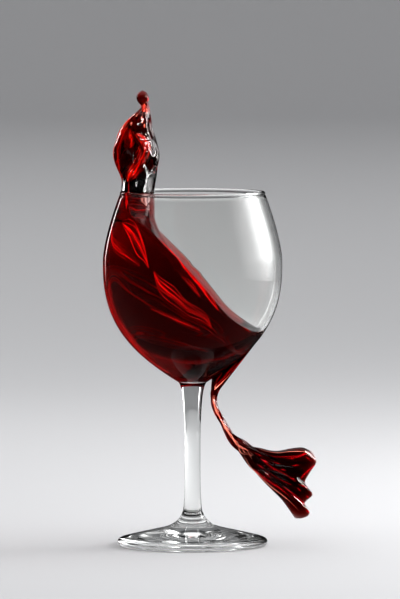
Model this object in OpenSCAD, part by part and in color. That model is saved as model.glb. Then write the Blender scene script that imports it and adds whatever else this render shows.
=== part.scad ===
// A stemmed glass of red wine, caught while the wine swings up one side of the bowl.
// The origin is on the axis of the glass, where its foot meets the table. The wine climbs
// the -X side and leaps above the rim; a second splash hangs under the bowl on the +X side.

/* [Glass] */
// Height of the glass, from the table to the rim
glass_h = 200; // [180:1:220]
// Outer diameter of the bowl at its widest
bowl_d = 101; // [95:0.5:106]
// Height at which the round lower part of the bowl becomes widest
widest_z = 157; // [155:0.5:159]
// Outer diameter of the bowl at its rim
rim_d = 80.6; // [78:0.2:84]
// Thickness of the bowl's wall
wall = 1.3; // [1.1:0.1:1.6]
// Thickness of the bowl's wall where it meets the stem
bottom_wall = 2.4; // [2:0.1:3]
// Radius of the rounded bead along the rim
bead_r = 1.05; // [0.9:0.05:1.2]

/* [Stem and foot] */
// Height at which the bowl turns into the stem
stem_top_z = 92.5; // [91:0.5:94]
// Diameter of the stem at its thinnest
stem_d = 8.8; // [8:0.1:10]
// Height of the faint collar between the stem and the foot
collar_z = 18; // [17:0.5:19]
// Outer diameter of the foot
foot_d = 84.5; // [80:0.5:88]
// Height of the hollow under the foot
foot_hollow = 1.6; // [1:0.1:2]

/* [Wine] */
// Points round one ring of the wine's skin
wine_sides = 56; // [40:4:64]
// Rings of skin for each stretch between two stations of the swell or the hanging splash
stretch_rings = 3; // [2:1:3]
// How far the lobes of the splash stand out, as a share of its radius
lobe_depth = 0.07; // [0:0.01:0.1]

/* [Hanging splash] */
// Points round one ring of the hanging splash
drop_sides = 40; // [28:4:44]
// How far the hanging splash sways towards -Y in its middle
drop_sway = 3; // [0:0.5:4]

/* [Hidden] */

bowl_r = bowl_d / 2;
rim_r = rim_d / 2;
stem_r = stem_d / 2;
foot_r = foot_d / 2;

// The upper bowl leans in from the end of its widest band by a power of the height.
band_top_z = widest_z + 4.5;
lean_power = 1.45;
curve_steps = 14;
fine_steps = 8;

// Height of the cavity's lowest point
cavity_floor_z = stem_top_z + 1.7;

// The swell: the wine's free edge as it climbs from the +X wall to the -X rim.
// Each station is [height, x of the free edge, hollow in the middle, half width along Y].
swell = [
    [120.5, 40.2, 0.0, 200],
    [124.2, 31.8, 1.5, 200],
    [132.5, 20.6, 4.0, 180],
    [145.5, 9.4, 6.0, 150],
    [158.5, -1.8, 6.0, 110],
    [171.2, -13.0, 4.0, 66],
    [181.1, -19.7, 1.5, 40],
    [188.5, -22.2, 0.0, 26],
    [199.7, -21.5, 0.0, 16]
];
swell_roundness = 3;
// Least angle from +X to where a ring's points turn from the free edge to the wall
least_edge = 35;
// The same angle on the ring at the rim
rim_edge = 108;
low_rings = 8;

// The leap: the splash above the rim, up to the drop that is about to leave it.
// Each station is [height, lowest x, highest x, half width along Y, y of its middle].
leap = [
    [200.3, -40.3, -21.4, 13.5, 0.0],
    [206.5, -40.6, -20.7, 12.0, 0.3],
    [213.2, -43.8, -19.2, 11.0, 0.6],
    [221.0, -44.6, -18.3, 10.5, 1.0],
    [229.6, -43.0, -19.4, 9.5, 1.2],
    [236.0, -39.6, -22.2, 7.8, 1.0],
    [242.0, -34.9, -23.1, 5.6, 0.5],
    [246.4, -30.0, -23.8, 3.4, 0.2],
    [248.2, -29.2, -24.5, 2.4, 0.0],
    [250.6, -31.1, -25.1, 3.1, 0.0],
    [253.2, -31.6, -24.8, 3.4, 0.0],
    [255.8, -30.3, -26.1, 2.1, 0.0]
];
leap_tip = [-28.2, 0, 256.8];

// The hanging splash: a thin stream that spreads into a fan with three lobes.
// Each station is [x and z of its lower edge, x and z of its upper edge, half depth along Y].
drop = [
    [10.4, 88.2, 15.3, 87.9, 1.9],
    [10.1, 82.5, 13.5, 82.5, 1.6],
    [12.1, 75.8, 15.3, 76.6, 1.6],
    [16.6, 66.8, 19.2, 69.0, 1.6],
    [21.7, 57.7, 24.7, 62.0, 2.0],
    [28.5, 49.9, 30.7, 58.2, 3.0],
    [34.6, 42.3, 38.2, 55.2, 3.9],
    [42.1, 34.2, 47.0, 53.6, 4.3],
    [49.9, 26.4, 55.0, 54.9, 4.3],
    [54.2, 20.7, 62.0, 55.4, 3.6],
    [57.8, 15.3, 67.3, 53.0, 0.5]
];
// Where its wine runs down the outside of the bowl: x of its two edges there, and its half depth
drop_root = [10.9, 37.4, 7.0];
// How far the fan's end reaches past its last station, from the lower edge to the upper one
fan_lobes = [[0, 0], [0.03, 4.2], [0.12, 7.3], [0.25, 3.2], [0.40, 6.3], [0.53, 0.6],
    [0.70, 1.8], [0.87, 3.8], [1, 0]];
fan_start = 0.62;
root_rings = 4;

// ---- curves ----

function mix(a, b, t) = a + (b - a) * t;
function ease(t) = let (c = min(1, max(0, t))) c * c * (3 - 2 * c);

// A point of a cubic Bezier curve and the direction in which it runs
function bezier(p, t) =
    pow(1 - t, 3) * p[0] + 3 * pow(1 - t, 2) * t * p[1]
    + 3 * (1 - t) * t * t * p[2] + pow(t, 3) * p[3];
function bezier_dir(p, t) =
    let (v = pow(1 - t, 2) * (p[1] - p[0]) + 2 * (1 - t) * t * (p[2] - p[1])
        + t * t * (p[3] - p[2]))
    v / norm(v);

// The value a share t of the way along a list of stations, on a smooth curve through them
function along(stations, t) =
    let (last = len(stations) - 1, u = min(last, max(0, t * last)),
        i = min(last - 1, floor(u)), f = u - i,
        a = stations[max(0, i - 1)], b = stations[i],
        c = stations[i + 1], d = stations[min(last, i + 2)])
    b + (c - a) * f / 2 + (2 * a - 5 * b + 4 * c - d) * f * f / 2
    + (3 * b - a - 3 * c + d) * f * f * f / 2;

// ---- the glass's outline, each curve running down or outwards ----

lower_bowl = [[bowl_r, widest_z], [bowl_r, widest_z - 32.2],
    [bowl_r - 16.4, stem_top_z + 16.1], [8.2, stem_top_z]];
stem_upper = [[8.2, stem_top_z], [stem_r + 1.2, stem_top_z - 1.6],
    [stem_r + 0.1, 78], [stem_r, 54]];
stem_lower = [[stem_r, 54], [stem_r, 38], [stem_r, 26], [5.4, collar_z + 1.6]];
foot_cone = [[6.1, collar_z], [8.4, 12.2], [14, 10.6], [22, 8.9]];
foot_slope = [[22, 8.9], [29, 7.3], [33, 6.3], [foot_r - 5, 5.3]];
foot_edge = [[foot_r - 5, 5.3], [foot_r - 1.4, 4.5], [foot_r, 3.7], [foot_r, 2.3]];
foot_heel = [[foot_r, 2.3], [foot_r, 0.9], [foot_r - 0.8, 0], [foot_r - 2.2, 0]];
foot_under = [[foot_r - 9, 0], [foot_r - 16, foot_hollow], [12, foot_hollow], [0, foot_hollow]];

function upper_r(z) =
    bowl_r - (bowl_r - rim_r) * pow(max(0, z - band_top_z) / (glass_h - band_top_z), lean_power);
function steps(p, n, first = 1) = [for (i = [first:n]) bezier(p, i / n)];
function steps_back(p, n, first = 1) = [for (i = [first:n]) bezier(p, 1 - i / n)];

// Points of the bowl's upper wall, going up, set in from its outer face
upper_top_z = glass_h - 2 * bead_r - 0.2;
function upper_wall(inset) = [for (i = [0:curve_steps])
    let (z = mix(band_top_z, upper_top_z, i / curve_steps)) [upper_r(z) - inset, z]];

// The bead along the rim: its round outer side, over the top and down its inner side
bead_mid = [upper_r(glass_h) - bead_r + 0.65, glass_h - bead_r];
bead_points = [for (a = [-50:20:170]) bead_mid + bead_r * [cos(a), sin(a)]];

// The inside of the lower bowl: the outer curve moved in, then a rounded floor
function inner_point(t) =
    let (dir = bezier_dir(lower_bowl, t))
    bezier(lower_bowl, t) + mix(wall, bottom_wall, t * t) * [dir[1], -dir[0]];
inner_end = 0.93;
inner_corner = inner_point(inner_end);
floor_dir = bezier_dir(lower_bowl, inner_end);
cavity_floor = [inner_corner, inner_corner + 3.2 * floor_dir,
    [inner_corner[0] * 0.4, cavity_floor_z], [0, cavity_floor_z]];

inner_lower = concat(
    [for (i = [0:2 * curve_steps]) inner_point(inner_end * i / (2 * curve_steps))],
    steps(cavity_floor, fine_steps));
inner_upper = upper_wall(wall);

// The whole outline, from under the foot up the outside and down the inside
outline = concat(
    steps_back(foot_under, curve_steps, 0),
    steps_back(foot_heel, fine_steps, 0), steps_back(foot_edge, fine_steps),
    steps_back(foot_slope, fine_steps), steps_back(foot_cone, curve_steps),
    steps_back(stem_lower, curve_steps, 0), steps_back(stem_upper, curve_steps),
    steps_back(lower_bowl, 2 * curve_steps),
    upper_wall(0), bead_points,
    [for (i = [0:curve_steps]) inner_upper[curve_steps - i]],
    inner_lower);

// The cavity's radius at a height, for the wine that fills it
cavity_table = concat(
    [for (i = [len(inner_lower) - 1:-1:0]) [inner_lower[i][1], inner_lower[i][0]]],
    [for (p = inner_upper) [p[1], p[0]]]);
function cavity_r(z) = lookup(z, cavity_table);

// The outer face of the lower bowl: its height at a radius, where the hanging splash starts
under_table = steps_back(lower_bowl, 2 * curve_steps, 0);
function under_z(r) = lookup(r, under_table);

// ---- the wine's skin, ring by ring ----

// Distance from [cx, 0] to the cavity's wall in the direction a
function wall_reach(cx, a, r) = -cx * cos(a) + sqrt(r * r - pow(cx * sin(a), 2));

// Distance from [cx, 0] to the wine's free edge in the direction a
function free_reach(cx, a, r, s) =
    let (edge = s[1] - s[2] - cx, k = s[2] * pow(sin(a) / r, 2),
        disc = cos(a) * cos(a) - 4 * edge * k,
        front = cos(a) > 0 && disc > 0 ? (cos(a) + sqrt(disc)) / (2 * edge) : 0)
    pow(pow(front, swell_roundness) + pow(abs(sin(a)) / s[3], swell_roundness),
        -1 / swell_roundness);

// The direction in which the free edge meets the wall, by halving the span that holds it
function corner(cx, r, s, low, high, halvings) =
    let (a = (low + high) / 2)
    halvings == 0 ? a
    : wall_reach(cx, a, r) > free_reach(cx, a, r, s) ? corner(cx, r, s, a, high, halvings - 1)
    : corner(cx, r, s, low, a, halvings - 1);

// Directions of a ring's points: half of them face the free edge, half the wall
function ring_angle(j, edge) =
    let (half = wine_sides / 2)
    j < half ? mix(-edge, edge, j / half) : mix(edge, 360 - edge, j / half - 1);

function swell_ring(s) =
    let (r = cavity_r(s[0]), cx = min(0, (s[1] - s[2] - r) / 2),
        edge = max(least_edge, corner(cx, r, s, 0, 180, 14)))
    [for (j = [0:wine_sides - 1]) let (a = ring_angle(j, edge),
        d = min(wall_reach(cx, a, r), free_reach(cx, a, r, s)))
        [cx + d * cos(a), d * sin(a), s[0]]];

function low_ring(z) =
    [for (j = [0:wine_sides - 1]) let (a = ring_angle(j, least_edge))
        [cavity_r(z) * cos(a), cavity_r(z) * sin(a), z]];

// The lobes swirl as they rise, and fade at the rim and at the drop.
function lobes(a, z, t) = 1 - lobe_depth * ease(t * 6) * ease((1 - t) * 3)
    * (1 - sin(3 * a + 9 * z) + 0.6 * sin(5 * a - 13 * z));
function leap_ring(t) =
    let (s = along(leap, t))
    [for (j = [0:wine_sides - 1]) let (a = ring_angle(j, mix(rim_edge, 90, ease(t * 3))),
        k = lobes(a, s[0], t))
        [(s[1] + s[2]) / 2 + k * (s[2] - s[1]) / 2 * cos(a), s[4] + k * s[3] * sin(a), s[0]]];

swell_rings = stretch_rings * (len(swell) - 1);
leap_rings = 2 * (len(leap) - 1);
wine_rings = concat(
    [for (i = [1:low_rings])
        low_ring(mix(cavity_floor_z, swell[0][0], pow(i / (low_rings + 1), 1.6)))],
    [for (i = [0:swell_rings]) swell_ring(along(swell, i / swell_rings))],
    [for (i = [0:leap_rings]) leap_ring(i / leap_rings)]);

// ---- the hanging splash's skin ----

// The root ring follows the bowl's outer face, a hair inside it.
function root_ring() = [for (j = [0:drop_sides - 1]) let (a = 360 * j / drop_sides,
    x = mix(drop_root[0], drop_root[1], (1 - cos(a)) / 2), y = drop_root[2] * sin(a))
    [x, y, under_z(norm([x, y])) + 0.2]];

fan_low = [drop[len(drop) - 1][0], drop[len(drop) - 1][1]];
fan_high = [drop[len(drop) - 1][2], drop[len(drop) - 1][3]];
fan_dir = (fan_high - fan_low) / norm(fan_high - fan_low);
function lobe_reach(t) = lookup(t, [for (k = [0:4 * (len(fan_lobes) - 1)])
    along(fan_lobes, k / (4 * (len(fan_lobes) - 1)))]);

function drop_ring(t) =
    let (s = along(drop, t), reach = ease((t - fan_start) / (1 - fan_start)))
    [for (j = [0:drop_sides - 1]) let (a = 360 * j / drop_sides, w = (1 - cos(a)) / 2,
        push = reach * max(0, lobe_reach(w)))
        [mix(s[0], s[2], w) + push * fan_dir[1], s[4] * sin(a) - drop_sway * sin(180 * t),
            mix(s[1], s[3], w) - push * fan_dir[0]]];

function blend_rings(a, b, t) = [for (j = [0:len(a) - 1]) mix(a[j], b[j], t)];
drop_steps = stretch_rings * (len(drop) - 1);
drop_rings = concat(
    [for (i = [0:root_rings - 1]) blend_rings(root_ring(), drop_ring(0), sqrt(i / root_rings))],
    [for (i = [0:drop_steps]) drop_ring(i / drop_steps)]);

// ---- solids ----

// Quads between rings, so that the skin is one closed surface once its ends are shut
function band_faces(rings, n) = [for (i = [0:rings - 2]) for (j = [0:n - 1])
    [i * n + j, (i + 1) * n + j, (i + 1) * n + (j + 1) % n, i * n + (j + 1) % n]];

// A skin whose ends come to a point each
module pointed_skin(rings, low, high) {
    n = len(rings[0]);
    count = len(rings);
    polyhedron(concat([for (ring = rings) for (p = ring) p], [low, high]), concat(
        band_faces(count, n),
        [for (j = [0:n - 1]) [count * n, j, (j + 1) % n]],
        [for (j = [0:n - 1]) [count * n + 1, (count - 1) * n + (j + 1) % n, (count - 1) * n + j]]),
        convexity = 6);
}

// A skin whose ends are shut straight across, from each point to its mirror in the ring
module flat_skin(rings) {
    n = len(rings[0]);
    last = (len(rings) - 1) * n;
    polyhedron([for (ring = rings) for (p = ring) p], concat(
        band_faces(len(rings), n),
        [for (j = [0:n / 2 - 1]) [j, j + 1, (n - j - 1) % n, (n - j) % n]],
        [for (j = [0:n / 2 - 1]) [last + (n - j) % n, last + (n - j - 1) % n, last + j + 1, last + j]]),
        convexity = 6);
}

module glass() {
    color([0.82, 0.86, 0.84, 0.35])
        rotate_extrude($fn = 96)
            polygon(outline);
}

module wine() {
    color([0.42, 0.02, 0.05])
        pointed_skin(wine_rings, [0, 0, cavity_floor_z], leap_tip);
}

module hanging_splash() {
    color([0.55, 0.05, 0.06])
        flat_skin(drop_rings);
}

glass();
wine();
hanging_splash();
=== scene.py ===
"""Glass of red wine in mid-swing: smooth glass, clear red wine with its folds, and the two splashes."""
from math import acos, atan2, cos, dist, hypot, pi, radians, sin, sqrt
import bpy
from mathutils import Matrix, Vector, noise


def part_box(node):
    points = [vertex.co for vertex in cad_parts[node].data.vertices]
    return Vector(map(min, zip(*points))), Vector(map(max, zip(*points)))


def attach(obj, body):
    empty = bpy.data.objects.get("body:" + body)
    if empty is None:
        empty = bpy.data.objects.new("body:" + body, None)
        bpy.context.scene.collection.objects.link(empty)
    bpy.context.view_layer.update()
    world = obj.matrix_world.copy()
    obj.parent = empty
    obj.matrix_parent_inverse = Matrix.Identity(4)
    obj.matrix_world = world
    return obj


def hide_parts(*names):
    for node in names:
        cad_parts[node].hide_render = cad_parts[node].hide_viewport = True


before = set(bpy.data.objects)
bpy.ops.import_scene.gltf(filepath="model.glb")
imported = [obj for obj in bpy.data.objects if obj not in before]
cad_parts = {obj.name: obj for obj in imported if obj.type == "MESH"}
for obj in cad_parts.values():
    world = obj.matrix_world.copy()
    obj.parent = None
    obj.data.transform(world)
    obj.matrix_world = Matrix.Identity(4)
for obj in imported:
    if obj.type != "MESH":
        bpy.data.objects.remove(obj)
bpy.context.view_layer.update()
MM = 0.001

# ---- sizes, in millimetres, from the frame and from the part's design ----

_, GLASS_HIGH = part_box("glass")
GLASS_H = GLASS_HIGH.z / MM
BOWL_R = GLASS_HIGH.x / MM
RIM_R = 40.3
WIDEST_Z = 157.0
BAND_TOP_Z = WIDEST_Z + 4.5
LEAN_POWER = 1.45
WALL = 1.3
BOTTOM_WALL = 2.4
BEAD_R = 1.05
# How far the bead stands out from the wall's middle, the gap below it, and its arc in degrees
BEAD_OUT = 0.65
BEAD_GAP = 0.2
BEAD_FROM = -50
BEAD_TURN = 225
STEM_TOP_Z = 92.5
STEM_R = 4.4
COLLAR_Z = 18.0
FOOT_R = 42.25
FOOT_HOLLOW = 1.6
FLOOR_Z = STEM_TOP_Z + 1.7
# How far the wine reaches into the wall, so that no air shows between them
OVERLAP = 0.12

# Each station is [height, x of the free edge, hollow in the middle, half width along Y].
SWELL = [
    [120.5, 40.2, 0.0, 200], [124.2, 31.8, 1.5, 200], [132.5, 20.6, 4.0, 180],
    [145.5, 9.4, 6.0, 150], [158.5, -1.8, 6.0, 110], [171.2, -13.0, 4.0, 66],
    [181.1, -19.7, 1.5, 40], [188.5, -22.2, 0.0, 26], [199.7, -21.5, 0.0, 16],
]
SWELL_LOW_Z = SWELL[0][0]
SWELL_TOP_Z = SWELL[-1][0]
# The power of the rounded outline that each ring of the swell follows
ROUNDNESS = 3
LEAST_EDGE = radians(35)
RIM_EDGE = radians(108)

# Each station is [height, lowest x, highest x, half width along Y, y of its middle].
LEAP = [
    [200.3, -40.3, -21.4, 13.5, 0.0], [206.5, -40.6, -20.7, 12.0, 0.3],
    [213.2, -43.8, -19.2, 11.0, 0.6], [221.0, -44.6, -18.3, 10.5, 1.0],
    [229.6, -43.0, -19.4, 9.5, 1.2], [236.0, -39.6, -22.2, 7.8, 1.0],
    [242.0, -34.9, -23.1, 5.6, 0.5], [246.4, -30.0, -23.8, 3.4, 0.2],
    [248.2, -29.2, -24.5, 2.4, 0.0], [250.6, -31.1, -25.1, 3.1, 0.0],
    [253.2, -31.6, -24.8, 3.4, 0.0], [255.8, -30.3, -26.1, 2.1, 0.0],
]
LEAP_TIP = (-28.2, 0.0, 256.8)

# Each station is [x and z of the lower edge, x and z of the upper edge, half depth along Y].
DROP = [
    [10.4, 88.2, 15.3, 87.9, 1.9], [10.1, 82.5, 13.5, 82.5, 1.6],
    [12.1, 75.8, 15.3, 76.6, 1.6], [16.6, 66.8, 19.2, 69.0, 1.6],
    [21.7, 57.7, 24.7, 62.0, 2.0], [28.5, 49.9, 30.7, 58.2, 3.0],
    [34.6, 42.3, 38.2, 55.2, 3.9], [42.1, 34.2, 47.0, 53.6, 4.3],
    [49.9, 26.4, 55.0, 54.9, 4.3], [54.2, 20.7, 62.0, 55.4, 3.6],
    [57.8, 15.3, 67.3, 53.0, 0.5],
]
DROP_ROOT = (10.9, 37.4, 7.0)
DROP_SWAY = 3.0
FAN_LOBES = [[0, 0], [0.03, 4.2], [0.12, 7.3], [0.25, 3.2], [0.4, 6.3], [0.53, 0.6],
             [0.7, 1.8], [0.87, 3.8], [1, 0]]
FAN_START = 0.62


# ---- curves ----

def mix(a, b, t):
    return a + (b - a) * t


def clamp(t):
    return min(1.0, max(0.0, t))


def ease(t):
    c = clamp(t)
    return c * c * (3 - 2 * c)


def bezier(p, t):
    weights = ((1 - t) ** 3, 3 * (1 - t) ** 2 * t, 3 * (1 - t) * t * t, t ** 3)
    return tuple(sum(w * q[k] for w, q in zip(weights, p)) for k in (0, 1))


def bezier_dir(p, t):
    weights = ((1 - t) ** 2, 2 * (1 - t) * t, t * t)
    v = [sum(w * (p[i + 1][k] - p[i][k]) for i, w in enumerate(weights)) for k in (0, 1)]
    size = hypot(*v)
    return v[0] / size, v[1] / size


def along(stations, t):
    """The value a share t of the way along a list of stations, on a smooth curve through them."""
    last = len(stations) - 1
    u = min(last, max(0, t * last))
    i = min(last - 1, int(u))
    f = u - i
    a, b = stations[max(0, i - 1)], stations[i]
    c, d = stations[i + 1], stations[min(last, i + 2)]
    return [
        q + (r - p) * f / 2 + (2 * p - 5 * q + 4 * r - s) * f * f / 2
        + (3 * q - p - 3 * r + s) * f ** 3 / 2
        for p, q, r, s in zip(a, b, c, d)
    ]


def lookup(x, table):
    """Straight-line reading of a table of (key, value) pairs in rising order of key."""
    if x <= table[0][0]:
        return table[0][1]
    for (x0, y0), (x1, y1) in zip(table, table[1:]):
        if x <= x1:
            return mix(y0, y1, (x - x0) / max(1e-9, x1 - x0))
    return table[-1][1]


def ripple(x, y, z):
    """Smooth unevenness, between about -1 and 1, the same on each run."""
    return noise.noise(Vector((x, y, z)))


# ---- the glass's outline ----

# The points (radius, height) in which two curves of the outline meet
STEM_END = (8.2, STEM_TOP_Z)
STEM_MIDDLE = (STEM_R, 54)
CONE_END = (22, 8.9)
SLOPE_END = (FOOT_R - 5, 5.3)
EDGE_END = (FOOT_R, 2.3)
# Each curve has four Bezier points (radius, height)
LOWER_BOWL = [(BOWL_R, WIDEST_Z), (BOWL_R, WIDEST_Z - 32.2),
              (BOWL_R - 16.4, STEM_TOP_Z + 16.1), STEM_END]
STEM_UPPER = [STEM_END, (STEM_R + 1.2, STEM_TOP_Z - 1.6), (STEM_R + 0.1, 78), STEM_MIDDLE]
STEM_LOWER = [STEM_MIDDLE, (STEM_R, 38), (STEM_R, 26), (5.4, COLLAR_Z + 1.6)]
FOOT_CONE = [(6.1, COLLAR_Z), (8.4, 12.2), (14, 10.6), CONE_END]
FOOT_SLOPE = [CONE_END, (29, 7.3), (33, 6.3), SLOPE_END]
FOOT_EDGE = [SLOPE_END, (FOOT_R - 1.4, 4.5), (FOOT_R, 3.7), EDGE_END]
FOOT_HEEL = [EDGE_END, (FOOT_R, 0.9), (FOOT_R - 0.8, 0), (FOOT_R - 2.2, 0)]
FOOT_UNDER = [(FOOT_R - 9, 0), (FOOT_R - 16, FOOT_HOLLOW), (12, FOOT_HOLLOW), (0, FOOT_HOLLOW)]
# The share of the lower bowl that the wall follows inside, before its rounded floor starts
INNER_END = 0.93
FLOOR_LEAD = 3.2
FLOOR_FLAT = 0.4
BEAD_STEPS = 22
BOWL_STEPS = 56
UPPER_STEPS = 24
FLOOR_STEPS = 12


def upper_r(z):
    lean = (max(0.0, z - BAND_TOP_Z) / (GLASS_H - BAND_TOP_Z)) ** LEAN_POWER
    return BOWL_R - (BOWL_R - RIM_R) * lean


def inner_point(t):
    dx, dz = bezier_dir(LOWER_BOWL, t)
    x, z = bezier(LOWER_BOWL, t)
    w = mix(WALL, BOTTOM_WALL, t * t)
    return x + w * dz, z - w * dx


def upper_wall(inset):
    top = GLASS_H - 2 * BEAD_R - BEAD_GAP
    heights = [mix(BAND_TOP_Z, top, i / UPPER_STEPS) for i in range(UPPER_STEPS + 1)]
    return [(upper_r(z) - inset, z) for z in heights]


def inner_lower():
    """The inside of the lower bowl, going down to the rounded floor on the axis."""
    wall = [inner_point(INNER_END * i / BOWL_STEPS) for i in range(BOWL_STEPS + 1)]
    x, z = wall[-1]
    dx, dz = bezier_dir(LOWER_BOWL, INNER_END)
    lead = (x + FLOOR_LEAD * dx, z + FLOOR_LEAD * dz)
    floor = [(x, z), lead, (x * FLOOR_FLAT, FLOOR_Z), (0, FLOOR_Z)]
    return wall + [bezier(floor, i / FLOOR_STEPS) for i in range(1, FLOOR_STEPS + 1)]


def steps_back(p, n, first=1):
    """Points of a curve from its end to its start, in n steps; first=1 leaves the end out."""
    return [bezier(p, 1 - i / n) for i in range(first, n + 1)]


def glass_outline():
    """The whole outline (radius, height), from under the foot round the rim to the bowl's floor."""
    mid_r = upper_r(GLASS_H) - BEAD_R + BEAD_OUT
    mid_z = GLASS_H - BEAD_R
    angles = [radians(BEAD_FROM + BEAD_TURN * i / BEAD_STEPS) for i in range(BEAD_STEPS + 1)]
    bead = [(mid_r + BEAD_R * cos(a), mid_z + BEAD_R * sin(a)) for a in angles]
    return (
        steps_back(FOOT_UNDER, 20, 0) + steps_back(FOOT_HEEL, 8, 0) + steps_back(FOOT_EDGE, 10)
        + steps_back(FOOT_SLOPE, 8) + steps_back(FOOT_CONE, 18)
        + steps_back(STEM_LOWER, 16, 0) + steps_back(STEM_UPPER, 20)
        + steps_back(LOWER_BOWL, BOWL_STEPS) + upper_wall(0) + bead
        + list(reversed(upper_wall(WALL))) + inner_lower()
    )


CAVITY = [(z, r) for r, z in reversed(inner_lower())] + [(z, r) for r, z in upper_wall(WALL)]
UNDER = [(r, z) for r, z in steps_back(LOWER_BOWL, BOWL_STEPS, 0)]


def cavity_r(z):
    """How far the wine reaches at a height: the cavity's radius and a hair more."""
    return lookup(z, CAVITY) + OVERLAP


# ---- meshes ----

def even_angles(n):
    return [2 * pi * j / n for j in range(n)]


def split_angles(n, edge):
    """Angles round a ring, half on the free side of the contact line and half on the wet side."""
    half = n / 2
    return [mix(-edge, edge, j / half) if j < half else mix(edge, 2 * pi - edge, j / half - 1)
            for j in range(n)]


def ring_of(r, z, angles):
    return [(r * cos(a), r * sin(a), z) for a in angles]


def link_object(name, data):
    obj = bpy.data.objects.new(name, data)
    bpy.context.scene.collection.objects.link(obj)
    return obj


def mesh_object(name, points, faces, material):
    """A mesh from points in millimetres, riding on the part's one body."""
    mesh = bpy.data.meshes.new(name)
    mesh.from_pydata([Vector(p) * MM for p in points], [], faces)
    mesh.validate()
    mesh.update()
    mesh.materials.append(material)
    mesh.shade_smooth()
    obj = link_object(name, mesh)
    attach(obj, "root")
    return obj


def band_faces(rings, n):
    """The four-sided faces between rings of n points each."""
    return [
        (i * n + j, i * n + (j + 1) % n, (i + 1) * n + (j + 1) % n, (i + 1) * n + j)
        for i in range(rings - 1) for j in range(n)
    ]


def pointed_skin(rings, low, high):
    """Points and faces of a closed skin whose two ends come to a point."""
    n, count = len(rings[0]), len(rings)
    points = [p for ring in rings for p in ring] + [low, high]
    faces = band_faces(count, n)
    last = (count - 1) * n
    faces += [(count * n, (j + 1) % n, j) for j in range(n)]
    faces += [(count * n + 1, last + j, last + (j + 1) % n) for j in range(n)]
    return points, faces


def flat_skin(rings):
    """Points and faces of a closed skin whose ends are shut from each point to its mirror."""
    n, count = len(rings[0]), len(rings)
    points = [p for ring in rings for p in ring]
    faces = band_faces(count, n)
    last = (count - 1) * n
    for j in range(n // 2):
        quad = [j, j + 1, (n - j - 1) % n, (n - j) % n]
        faces.append(tuple(dict.fromkeys(reversed(quad))))
        faces.append(tuple(dict.fromkeys(last + k for k in quad)))
    return points, faces


# ---- the wine's skin ----

WINE_SIDES = 200
SWELL_RINGS = 96
LEAP_RINGS = 110
LOW_RINGS = 26


def wall_reach(cx, a, r):
    """How far the wall of radius r is from the point x = cx, y = 0, in direction a."""
    return -cx * cos(a) + sqrt(r * r - (cx * sin(a)) ** 2)


def free_reach(cx, a, r, s):
    """How far the free edge of station s is from the point x = cx, y = 0, in direction a."""
    edge = s[1] - s[2] - cx
    k = s[2] * (sin(a) / r) ** 2
    disc = cos(a) ** 2 - 4 * edge * k
    front = (cos(a) + sqrt(disc)) / (2 * edge) if cos(a) > 0 and disc > 0 else 0
    side = abs(sin(a)) / s[3]
    return (front ** ROUNDNESS + side ** ROUNDNESS + 1e-15) ** (-1 / ROUNDNESS)


def corner(cx, r, s):
    """The direction in which the free edge meets the wall."""
    low, high = 0.0, pi
    for _ in range(24):
        a = (low + high) / 2
        if wall_reach(cx, a, r) > free_reach(cx, a, r, s):
            low = a
        else:
            high = a
    return low


# Height of the free face's broad and fine waves, and how they fade at the top and at the wall
WAVE_HIGH = 1.7
WAVE_FINE = 0.55
WAVE_FADE = 9
WAVE_POWER = 0.7


def free_wave(y, z, share):
    """How far the free face stands out at a place; nothing at the wall, where share is 0 or 1."""
    fade = sin(pi * share) ** WAVE_POWER * ease((SWELL_TOP_Z - z) / WAVE_FADE)
    broad = ripple(0.13 * y, 0.035 * z, 2.2)
    fine = ripple(0.34 * y, 0.09 * z, 5.1)
    return fade * (WAVE_HIGH * broad + WAVE_FINE * fine)


def swell_ring(s):
    r = cavity_r(s[0])
    cx = min(0, (s[1] - s[2] - r) / 2)
    edge = max(LEAST_EDGE, corner(cx, r, s))
    ring = []
    for j, a in enumerate(split_angles(WINE_SIDES, edge)):
        wall, free = wall_reach(cx, a, r), free_reach(cx, a, r, s)
        x, y = cx + min(wall, free) * cos(a), min(wall, free) * sin(a)
        if free < wall:
            x += free_wave(y, s[0], j / (WINE_SIDES / 2))
        ring.append((x, y, s[0]))
    return ring


def low_ring(z):
    return ring_of(cavity_r(z), z, split_angles(WINE_SIDES, LEAST_EDGE))


LOBE_DEPTH = 0.07
# How thick the leaping sheet is across its width, as shares of the full depth: a curled left rim,
# a thin groove beside it and a fuller right side
SHEET = [(-1.0, 0.6), (-0.9, 0.55), (-0.75, 0.28), (-0.6, 0.4), (-0.3, 0.62), (0.0, 0.7),
         (0.35, 0.8), (0.7, 0.85), (1.0, 0.7)]
SHEET_HALF = 40
SHEET_CURVE = [(-1 + k / SHEET_HALF, lookup(-1 + k / SHEET_HALF, SHEET))
               for k in range(2 * SHEET_HALF + 1)]
# Height of the leaping sheet's broad dimples, sharp ridges and fine grain, and how far it bends
RELIEF = 3.0
RELIEF_FINE = 1.9
RELIEF_GRAIN = 0.7
LEAP_BEND = 2.2


def lobes(a, z, t):
    """The lobes of the leaping sheet's outline, as a share of its size."""
    fade = ease(t * 6) * ease((1 - t) * 3)
    turn = radians(9 * z)
    wave = sin(3 * a + turn) - 0.6 * sin(5 * a - radians(13 * z))
    return 1 - LOBE_DEPTH * fade * (1 - wave)


def leap_relief(x, z, side):
    """Dimples and ridges that run up the leaping sheet."""
    sway = 2.5 * ripple(0.05 * x, 0.06 * z, 8.8)
    broad = ripple(0.13 * x + sway * 0.1, 0.075 * z, side * 4.0)
    fine = 1 - 2.6 * abs(ripple(0.2 * x + sway * 0.2, 0.1 * z, side * 9.0 + 3))
    grain = ripple(0.5 * x, 0.3 * z, side * 5.0 + 6)
    return RELIEF * broad + RELIEF_FINE * fine + RELIEF_GRAIN * grain


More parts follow.
